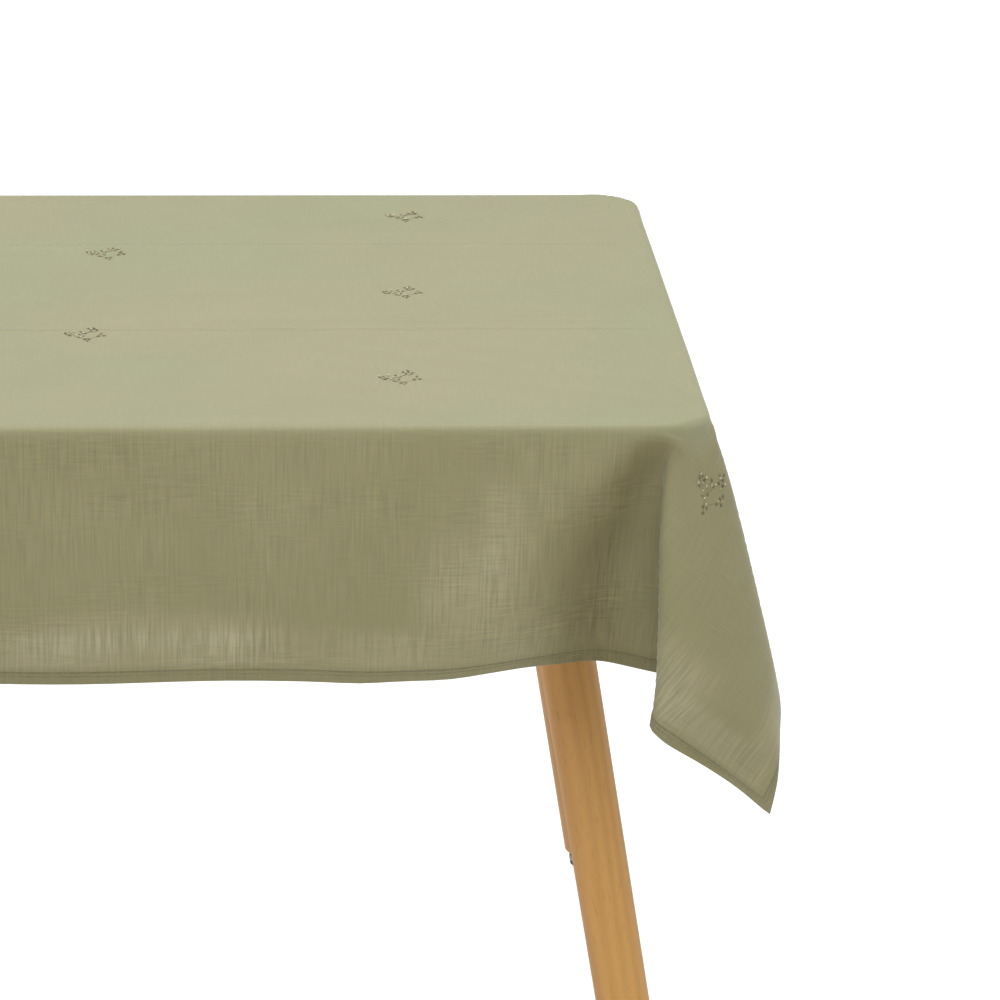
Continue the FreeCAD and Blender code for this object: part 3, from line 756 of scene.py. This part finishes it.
def cloth_material():
    """Slub weave: uneven warp and weft threads, with painted light where light comes through the hanging
    cloth, a paler painted tint on the lit top, and painted shade beside the corners and along the pressed
    creases.
    """
    p = Paint("cloth_fabric")
    flat = p.add("UVMap", uv_map="flat_cloth")
    hanging, backlight_paint, hem = p.attribute("hanging"), p.attribute("backlight_paint"), p.attribute("hem")
    warp = p.noise(p.stretch(flat, (430, 22, 1)), detail=1.5, roughness=0.5)
    weft = p.noise(p.stretch(flat, (34, 430, 1), (3, 7, 2)), detail=1.5, roughness=0.5)
    fine_warp = p.noise(p.stretch(flat, (1150, 40, 1), (1, 5, 4)), detail=1)
    fine_weft = p.noise(p.stretch(flat, (40, 1150, 1), (8, 2, 6)), detail=1)
    cloud = p.noise(p.stretch(flat, (7, 7, 1)), detail=3, roughness=0.55)
    where_warp = p.band(p.noise(p.stretch(flat, (16, 5, 1), (4, 4, 0))), 0.35, 0.65, 0.35, 1.0)
    where_weft = p.band(p.noise(p.stretch(flat, (6, 18, 1), (9, 1, 0))), 0.40, 0.68, 0.15, 1.0)
    strength = p.math("MULTIPLY_ADD", hanging, 0.34, 0.18)
    strength = p.math("MULTIPLY_ADD", p.attribute("fold"), -0.24, strength)
    strength = p.math("ADD", strength, p.math("MULTIPLY", backlight_paint, 0.45))
    strength = p.math("MULTIPLY_ADD", p.attribute("painted_corner_shade"), 0.45, strength)
    slub = p.math("MULTIPLY", p.math("SUBTRACT", warp, 0.5), where_warp)
    slub = p.math("MULTIPLY_ADD", p.math("MULTIPLY", p.math("SUBTRACT", weft, 0.5), where_weft), 0.8, slub)
    thread = p.math("ADD", p.math("SUBTRACT", fine_warp, 0.5), p.math("SUBTRACT", fine_weft, 0.5))
    value = p.math("MULTIPLY_ADD", thread, 0.10, p.math("MULTIPLY", slub, 0.85))
    value = p.math("MULTIPLY", value, strength)
    value = p.math("MULTIPLY_ADD", p.math("SUBTRACT", cloud, 0.5), 0.10, value)
    value = p.math("ADD", value, 1.0)
    value = p.math("MULTIPLY", value, p.math("MULTIPLY_ADD", hem, -0.12, 1.0))
    # Darker line along the hem's inner edge and painted shade along the pressed creases.
    value = p.math("MULTIPLY", value, p.math("MULTIPLY_ADD", p.attribute("hem_line_and_crease_shade"), -0.25, 1.0))
    patches = p.noise(p.stretch(flat, (2.6, 2.6, 1), (5, 1, 3)))
    # Painted light and shade: a paler, greyer tint on the lying top where the light falls, and a deeper tint
    # on the hanging sides; both vary at random in patches.
    lit_top_tint = p.mix(p.band(patches, 0.38, 0.62), linear(132, 133, 103), linear(136, 132, 104))
    shaded_drop_tint = p.mix(p.band(cloud, 0.3, 0.7), linear(130, 125, 92), linear(132, 127, 95))
    tint = p.mix(hanging, lit_top_tint, shaded_drop_tint)
    # Painted light: paler colour where light comes through the hanging cloth.
    tint = p.mix(p.math("MULTIPLY", backlight_paint, p.band(warp, 0.3, 0.7, 0.55, 1.0)), tint, linear(*BACKLIT_COLOR))
    # Painted shade beside each corner.
    tint = p.mix(p.attribute("painted_corner_shade"), tint, linear(*CORNER_SHADE_COLOR))
    color = p.add("VectorMath", {0: tint, "Scale": value}, operation="SCALE")
    height = p.math("ADD", p.math("MULTIPLY", slub, 0.8), p.math("MULTIPLY", thread, 0.5))
    rough = p.band(slub, -0.2, 0.2, 0.84, 0.93)
    return p.finish(color, rough, p.bump(height, 0.55, 0.0006), Sheen_Weight=0.22, Sheen_Roughness=0.45,
                    Sheen_Tint=(0.92, 0.93, 0.88, 1), Specular_IOR_Level=0.20)


def thread_material(name, light, dark, sheen=0.3):
    """Twisted thread: light plies with painted shade in the dark grooves between them."""
    p = Paint(name)
    place = p.add("TexCoord", output="Object")
    twist = p.noise(p.stretch(place, (2400, 2400, 2400)), detail=1)
    long = p.noise(p.stretch(place, (90, 90, 90)), detail=2)
    shade = p.math("MULTIPLY_ADD", long, 0.5, p.math("MULTIPLY", twist, 0.5))
    # Painted shade in the grooves between plies, mixed with a slow change of tone along the thread.
    color = p.mix(p.band(shade, 0.35, 0.65), linear(*dark), linear(*light))
    return p.finish(color, p.band(twist, 0.3, 0.7, 0.55, 0.75), p.bump(twist, 0.5, 0.0001),
                    Sheen_Weight=sheen, Specular_IOR_Level=0.35)


def wood_material(name, lean, light, dark, rough, coat, ring=0.011, along="z", flecks=0.5):
    """Wood whose grain runs along a leaning axis: growth rings, pores and flecks."""
    p = Paint(name)
    place = p.add("TexCoord", output="Object")
    split = p.tree.nodes.new("ShaderNodeSeparateXYZ")
    p.tree.links.new(place, split.inputs[0])
    if along == "z":
        a = p.math("MULTIPLY_ADD", split.outputs["Z"], lean[0], split.outputs["X"])
        b = p.math("MULTIPLY_ADD", split.outputs["Z"], lean[1], split.outputs["Y"])
        length = split.outputs["Z"]
    else:
        a, b, length = split.outputs["Y"], split.outputs["Z"], split.outputs["X"]
    grain = p.add("CombineXYZ", {0: a, 1: b, 2: length})
    sway = p.noise(p.stretch(grain, (9, 9, 1.6)), detail=3, roughness=0.5)
    far = p.math("SQRT", p.math("ADD", p.math("POWER", p.math("ADD", a, 0.35), 2.0),
                                p.math("POWER", p.math("ADD", b, 0.60), 2.0)))
    rings = p.math("SINE", p.math("MULTIPLY", p.math("MULTIPLY_ADD", sway, 0.035, far), 2 * math.pi / ring))
    fibre = p.noise(p.stretch(grain, (900, 900, 14)), detail=3, roughness=0.6)
    pores = p.band(p.noise(p.stretch(grain, (420, 420, 60), (3, 1, 2)), detail=1), 0.60, 0.72)
    patch = p.noise(p.stretch(grain, (22, 22, 2.2), (5, 2, 1)), detail=2)
    share = p.math("MULTIPLY_ADD", rings, 0.13, 0.5)
    share = p.math("MULTIPLY_ADD", p.math("SUBTRACT", fibre, 0.5), 0.55, share)
    share = p.math("MULTIPLY_ADD", p.math("SUBTRACT", patch, 0.5), 0.75, share)
    color = p.mix(share, linear(*dark), linear(*light))
    color = p.mix(p.math("MULTIPLY", pores, 0.35 * flecks), color, linear(*[c * 0.62 for c in dark]))
    height = p.math("MULTIPLY_ADD", pores, -0.5, fibre)
    return p.finish(color, p.band(fibre, 0.3, 0.7, rough - 0.06, rough + 0.07), p.bump(height, 0.25, 0.0003),
                    Coat_Weight=coat, Coat_Roughness=0.32, Specular_IOR_Level=0.4)


def metal_material(name, color, rough, brushed):
    p = Paint(name)
    place = p.add("TexCoord", output="Object")
    lines = p.noise(p.stretch(place, (150, 150, 1800)), detail=2)
    stain = p.noise(p.stretch(place, (60, 60, 60)), detail=3)
    share = p.math("MULTIPLY_ADD", lines, 0.45, p.math("MULTIPLY", stain, 0.55))
    tint = p.mix(p.band(share, 0.3, 0.7), linear(*[c * 0.80 for c in color]), linear(*color))
    return p.finish(tint, p.band(share, 0.3, 0.7, rough - 0.08, rough + 0.12),
                    p.bump(lines, brushed, 0.0002), Metallic=1.0)


def coated_material(name, color, rough, grain, depth):
    """Powder coat or moulded plastic: a fine pebbled skin with dusty patches."""
    p = Paint(name)
    place = p.add("TexCoord", output="Object")
    pebble = p.noise(p.stretch(place, (grain, grain, grain)), detail=2)
    dust = p.noise(p.stretch(place, (45, 45, 45)), detail=4, roughness=0.6)
    tint = p.mix(p.band(dust, 0.45, 0.75), linear(*color), linear(*[min(255, c * 1.35 + 6) for c in color]))
    return p.finish(tint, p.band(dust, 0.3, 0.7, rough - 0.06, rough + 0.10), p.bump(pebble, 0.4, depth),
                    Specular_IOR_Level=0.4)


def paint_nodes(nodes):
    """Gives every CAD node that stays in view its material."""
    board = wood_material("tabletop_wood", None, (214, 172, 120), (178, 130, 80), 0.42, 0.25, 0.026, "x")
    rail = wood_material("rail_wood", None, (212, 176, 128), (186, 144, 96), 0.62, 0.0, 0.018, "x", 0.9)
    zinc = metal_material("zinc_steel", (196, 198, 196), 0.32, 0.15)
    glide = metal_material("glide_steel", (150, 150, 146), 0.38, 0.3)
    coat = coated_material("plate_steel", (36, 36, 37), 0.52, 900, 0.0003)
    plastic = coated_material("glide_plastic", (30, 30, 31), 0.58, 1500, 0.0002)
    chosen = {"tabletop": board, "stiffening_rail_front": rail, "stiffening_rail_back": rail,
              "rail_screws": zinc, "hanger_bolts": zinc, "plate_screws": zinc, "threaded_inserts": zinc}
    for name, (sx, sy) in CORNERS.items():
        chosen["leg_" + name] = leg_wood(name, sx, sy)
        chosen["leg_plate_" + name] = coat
        chosen["glide_plate_" + name] = glide
        chosen["glide_pad_" + name] = plastic
    for name, material in chosen.items():
        data = nodes[name].data
        data.materials.clear()
        data.materials.append(material)


def leg_wood(name, sx, sy):
    lean = (sx * LEG_LEAN[0], sy * LEG_LEAN[1])
    return wood_material("leg_wood_" + name, lean, (198, 151, 84), (170, 123, 64), 0.55, 0.03, 0.012)


# ---------------------------------------------------------------- studio
CAMERA_PLACE = (0.4903, -4.6936, 2.0263)
CAMERA_YAW = -0.0614
CAMERA_PITCH = 0.3071
CAMERA_ROLL = 0.0138
CAMERA_LENS = 170.84
FLOOR_RADIUS = 30
FLOOR_SIDES = 96
WORLD_STRENGTH = 0.46


def set_camera():
    camera = bpy.data.objects.new("camera", bpy.data.cameras.new("camera"))
    bpy.context.scene.collection.objects.link(camera)
    camera.data.lens = CAMERA_LENS
    camera.data.sensor_width = 36.0
    camera.data.clip_end = 100.0
    turn = (Matrix.Rotation(CAMERA_YAW, 4, "Z") @ Matrix.Rotation(math.pi / 2 - CAMERA_PITCH, 4, "X")
            @ Matrix.Rotation(CAMERA_ROLL, 4, "Z"))
    camera.matrix_world = Matrix.Translation(CAMERA_PLACE) @ turn
    bpy.context.scene.camera = camera


def area_light(name, place, aim, size, power):
    light = bpy.data.lights.new(name, "AREA")
    light.shape = "RECTANGLE"
    light.size, light.size_y = size
    light.energy = power
    lamp = bpy.data.objects.new(name, light)
    bpy.context.scene.collection.objects.link(lamp)
    lamp.location = place
    away = Vector(place) - Vector(aim)
    lamp.rotation_euler = away.to_track_quat("Z", "Y").to_euler()


def set_stage():
    world = bpy.data.worlds.new("studio")
    world.use_nodes = True
    world.node_tree.nodes["Background"].inputs["Color"].default_value = (1.0, 1.0, 1.0, 1)
    world.node_tree.nodes["Background"].inputs["Strength"].default_value = WORLD_STRENGTH
    bpy.context.scene.world = world
    bpy.context.scene.view_settings.view_transform = "Standard"
    paint = Paint("floor_paint")
    floor_color = paint.mix(paint.noise(paint.add("TexCoord", output="Object"), 3.0), (0.24, 0.24, 0.24, 1),
                            (0.26, 0.26, 0.26, 1))
    paint.finish(floor_color, 0.9, Emission_Color=(1, 1, 1, 1), Emission_Strength=0.95,
                 Specular_IOR_Level=0.0)
    around = np.arange(FLOOR_SIDES) * 2 * math.pi / FLOOR_SIDES
    rim = np.stack([FLOOR_RADIUS * np.cos(around), FLOOR_RADIUS * np.sin(around), np.zeros(FLOOR_SIDES)], -1)
    floor = mesh_object("floor", rim, [list(range(FLOOR_SIDES))], [paint.material], smooth=False)
    area_light("key", (0.9, -2.8, 3.3), (0.2, 0, 0.7), (2.6, 2.0), 76)
    area_light("top", (0.4, 0.6, 3.4), (0.2, 0, 0.7), (3.4, 2.4), 100)


# ---------------------------------------------------------------- build
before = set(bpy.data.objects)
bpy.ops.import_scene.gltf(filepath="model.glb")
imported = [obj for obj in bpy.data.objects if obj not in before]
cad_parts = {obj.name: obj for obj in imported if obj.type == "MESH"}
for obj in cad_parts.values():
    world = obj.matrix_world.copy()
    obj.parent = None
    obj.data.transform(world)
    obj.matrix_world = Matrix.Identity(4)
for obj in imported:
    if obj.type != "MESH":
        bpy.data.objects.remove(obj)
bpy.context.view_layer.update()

paint_nodes(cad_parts)
board_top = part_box("tabletop")[1].z
shapes = list(CORNER_SHAPES)
draped, flat_cells = drape_corners([CORNER_SHAPES[s] for s in shapes])
cloth_sheet = Sheet(dict(zip(shapes, draped)), flat_cells, board_top)

fabric = cloth_material()
sewing = thread_material("sewing_thread", (140, 134, 98), (104, 98, 66))
olive = thread_material("embroidery_olive", (114, 105, 76), (84, 76, 53), 0.2)
moss = thread_material("embroidery_moss", (132, 126, 96), (108, 102, 72), 0.2)
cream = thread_material("embroidery_cream", (190, 182, 150), (142, 133, 102), 0.3)

tablecloth = build_cloth(cloth_sheet, [fabric])
stitching = build_stitching(cloth_sheet, "hem_stitching", sewing, 1, 4, 5)
stitching_inside = build_stitching(cloth_sheet, "hem_stitching_inside", sewing, -1, 3, 4)
sprigs = sprig_centres()
stem_paths, leaf_paths = sprig_threads(sprigs, 21)
sprig_stems = lay_threads(cloth_sheet, "sprig_stems", stem_paths, 0.00016, 0.00006, 0.00010, 5, moss)
sprig_leaves = lay_threads(cloth_sheet, "sprig_leaves", leaf_paths, 0.00030, 0.00014, 0.00028, 5, olive)
sprig_knots = build_knots(cloth_sheet, sprigs, cream)

for piece, slot in ((tablecloth, "cloth_fabric"), (stitching, "sewing_thread"),
                    (stitching_inside, "sewing_thread"), (sprig_stems, "embroidery_thread"),
                    (sprig_leaves, "embroidery_thread"), (sprig_knots, "embroidery_thread")):
    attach(piece, "tablecloth")
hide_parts("cloth_top", *["cloth_drop_" + s for s in SIDES], *["hem_" + s for s in SIDES],
            *["cloth_fold_" + c for c in CORNERS], *["hem_fold_" + c for c in CORNERS])
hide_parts("hem_stitching_sides", *["hem_stitching_" + c for c in CORNERS])
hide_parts("embroidered_sprigs")

set_stage()
set_camera()
